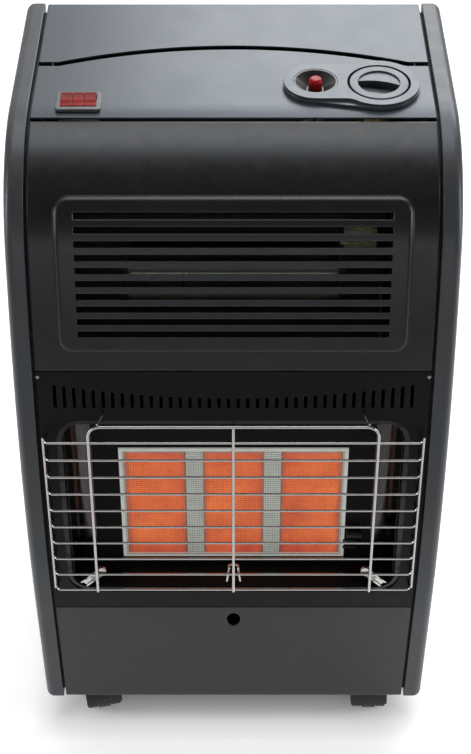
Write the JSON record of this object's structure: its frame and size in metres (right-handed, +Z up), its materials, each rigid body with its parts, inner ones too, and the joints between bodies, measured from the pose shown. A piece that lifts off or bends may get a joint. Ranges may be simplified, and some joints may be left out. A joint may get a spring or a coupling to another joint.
{
  "type": "portable propane heater",
  "caption": "Cabinet gas heater on castors: bowed charcoal case, louvred electric heater above, guarded glowing gas burner below, knob, igniter and red rocker switches on top.",
  "frame": {"origin": "on the floor, below the middle of the heater's bounding box", "axes": "+X to the right as seen from the front, +Y to the back, +Z up; the front faces -Y"},
  "size_m": [0.43, 0.418, 0.733],
  "materials": {
    "side_plastic": "satin blue-black moulding with a fine grain",
    "liner_steel": "black powder coat",
    "front_paint": "satin charcoal powder coat",
    "surround_paint": "heat-resistant matt black",
    "top_paint": "satin blue-grey powder coat",
    "inner_steel": "galvanised sheet",
    "rear_paint": "charcoal powder coat",
    "rim_chrome": "polished",
    "housing_black": "heat-resistant black enamel",
    "zinc_frame": "dull aluminised sheet",
    "manifold_steel": "zinc plated",
    "brass": "machined",
    "copper_pipe": "drawn copper",
    "electrode_white": "white insulated lead and rod",
    "guard_chrome": "bright chrome wire",
    "control_black": "gloss black moulding",
    "knob_black": "satin black moulding",
    "button_red": "glossy red",
    "rocker_red": "translucent glossy red",
    "inner_plastic": "cream heat-resistant moulding",
    "pin_steel": "ground pin",
    "quartz": "frosted quartz",
    "reflector_steel": "bright anodised sheet",
    "earth_green": "yellow and green insulation",
    "castor_black": "black moulding",
    "castor_tread": "black hard tread",
    "glowing_ceramic": "pierced radiant ceramic, glowing orange"
  },
  "bodies": {
    "cabinet": {"base_tray": "inner_steel", "burner_frame": "zinc_frame", "burner_housing": "housing_black", "burner_plenums": "zinc_frame", "castor_mounts": "inner_steel", "ceramic_plaque_centre": "glowing_ceramic", "ceramic_plaque_left": "glowing_ceramic", "ceramic_plaque_right": "glowing_ceramic", "control_bezel": "control_black", "control_fascia": "top_paint", "earth_lead": "earth_green", "electric_reflector": "reflector_steel", "element_brackets": "inner_steel", "gas_brackets": "inner_steel", "gas_injectors": "brass", "gas_inlet_nozzle": "brass", "gas_manifold": "manifold_steel", "gas_pipes": "copper_pipe", "guard_crossbars": "guard_chrome", "guard_fixings": "guard_chrome", "guard_frame": "guard_chrome", "heat_shield": "inner_steel", "igniter_body": "inner_plastic", "igniter_cup": "control_black", "ignition_electrode": "electrode_white", "left_side_panel": "side_plastic", "lower_front_panel": "front_paint", "lower_surround": "surround_paint", "opening_trim": "rim_chrome", "panel_screws": "manifold_steel", "pilot_burner": "brass", "quartz_tubes": "quartz", "right_side_panel": "side_plastic", "rocker_pin": "pin_steel", "side_liners": "liner_steel", "side_reflectors": "rim_chrome", "switch_bezel": "control_black", "switch_body": "inner_plastic", "terminal_block": "inner_plastic", "thermocouple": "copper_pipe", "top_lid": "top_paint", "upper_front_panel": "front_paint", "valve_body": "brass"},
    "valve_stem": {"valve_plunger": "brass"},
    "knob": {"control_knob": "knob_black", "valve_spindle": "brass"},
    "igniter": {"igniter_button": "button_red"},
    "rear_cover": {"rear_cover": "rear_paint"},
    "rocker_left": {"switch_rocker_left": "rocker_red"},
    "rocker_centre": {"switch_rocker_centre": "rocker_red"},
    "rocker_right": {"switch_rocker_right": "rocker_red"},
    "castor_front_left": {"castor_hood_front_left": "castor_black"},
    "wheels_front_left": {"castor_wheels_front_left": "castor_tread"},
    "castor_front_right": {"castor_hood_front_right": "castor_black"},
    "wheels_front_right": {"castor_wheels_front_right": "castor_tread"},
    "castor_rear_left": {"castor_hood_rear_left": "castor_black"},
    "wheels_rear_left": {"castor_wheels_rear_left": "castor_tread"},
    "castor_rear_right": {"castor_hood_rear_right": "castor_black"},
    "wheels_rear_right": {"castor_wheels_rear_right": "castor_tread"}
  },
  "joints": [
    {"name": "knob_push", "type": "slide", "parent": "cabinet", "child": "valve_stem", "axis": [0, 0, -1], "range_m": [0, 0.007], "stiffness_N_per_m": 900},
    {"name": "knob_turn", "type": "hinge", "parent": "valve_stem", "child": "knob", "pos_m": [0.1407, 0.03331, 0.73], "axis": [0, 0, 1], "range_deg": [0, 210]},
    {"name": "igniter_press", "type": "slide", "parent": "cabinet", "child": "igniter", "axis": [0, 0, -1], "range_m": [0, 0.006], "stiffness_N_per_m": 700},
    {"name": "rear_cover_lift_off", "type": "slide", "parent": "cabinet", "child": "rear_cover", "axis": [0, 1, 0], "range_m": [0, 0.07]},
    {"name": "rocker_left_press", "type": "hinge", "parent": "cabinet", "child": "rocker_left", "pos_m": [-0.15925, 0.0063, 0.7252], "axis": [1, 0, 0], "range_deg": [-28, 0]},
    {"name": "rocker_centre_press", "type": "hinge", "parent": "cabinet", "child": "rocker_centre", "pos_m": [-0.1478, 0.0063, 0.7252], "axis": [1, 0, 0], "range_deg": [-28, 0]},
    {"name": "rocker_right_press", "type": "hinge", "parent": "cabinet", "child": "rocker_right", "pos_m": [-0.13635, 0.0063, 0.7252], "axis": [1, 0, 0], "range_deg": [-28, 0]},
    {"name": "castor_front_left_swivel", "type": "hinge", "parent": "cabinet", "child": "castor_front_left", "pos_m": [-0.158, -0.146, 0], "axis": [0, 0, 1], "continuous": true},
    {"name": "castor_front_left_roll", "type": "hinge", "parent": "castor_front_left", "child": "wheels_front_left", "pos_m": [-0.15488, -0.16067, 0.019], "axis": [0.9781, 0.2079, 0], "continuous": true},
    {"name": "castor_front_right_swivel", "type": "hinge", "parent": "cabinet", "child": "castor_front_right", "pos_m": [0.158, -0.146, 0], "axis": [0, 0, 1], "continuous": true},
    {"name": "castor_front_right_roll", "type": "hinge", "parent": "castor_front_right", "child": "wheels_front_right", "pos_m": [0.158, -0.16099, 0.019], "axis": [1, 0, 0], "continuous": true},
    {"name": "castor_rear_left_swivel", "type": "hinge", "parent": "cabinet", "child": "castor_rear_left", "pos_m": [-0.158, 0.148, 0], "axis": [0, 0, 1], "continuous": true},
    {"name": "castor_rear_left_roll", "type": "hinge", "parent": "castor_rear_left", "child": "wheels_rear_left", "pos_m": [-0.1641, 0.1343, 0.019], "axis": [0.9135, -0.4067, 0], "continuous": true},
    {"name": "castor_rear_right_swivel", "type": "hinge", "parent": "cabinet", "child": "castor_rear_right", "pos_m": [0.158, 0.148, 0], "axis": [0, 0, 1], "continuous": true},
    {"name": "castor_rear_right_roll", "type": "hinge", "parent": "castor_rear_right", "child": "wheels_rear_right", "pos_m": [0.16163, 0.13345, 0.019], "axis": [0.9703, 0.2419, 0], "continuous": true}
  ]
}
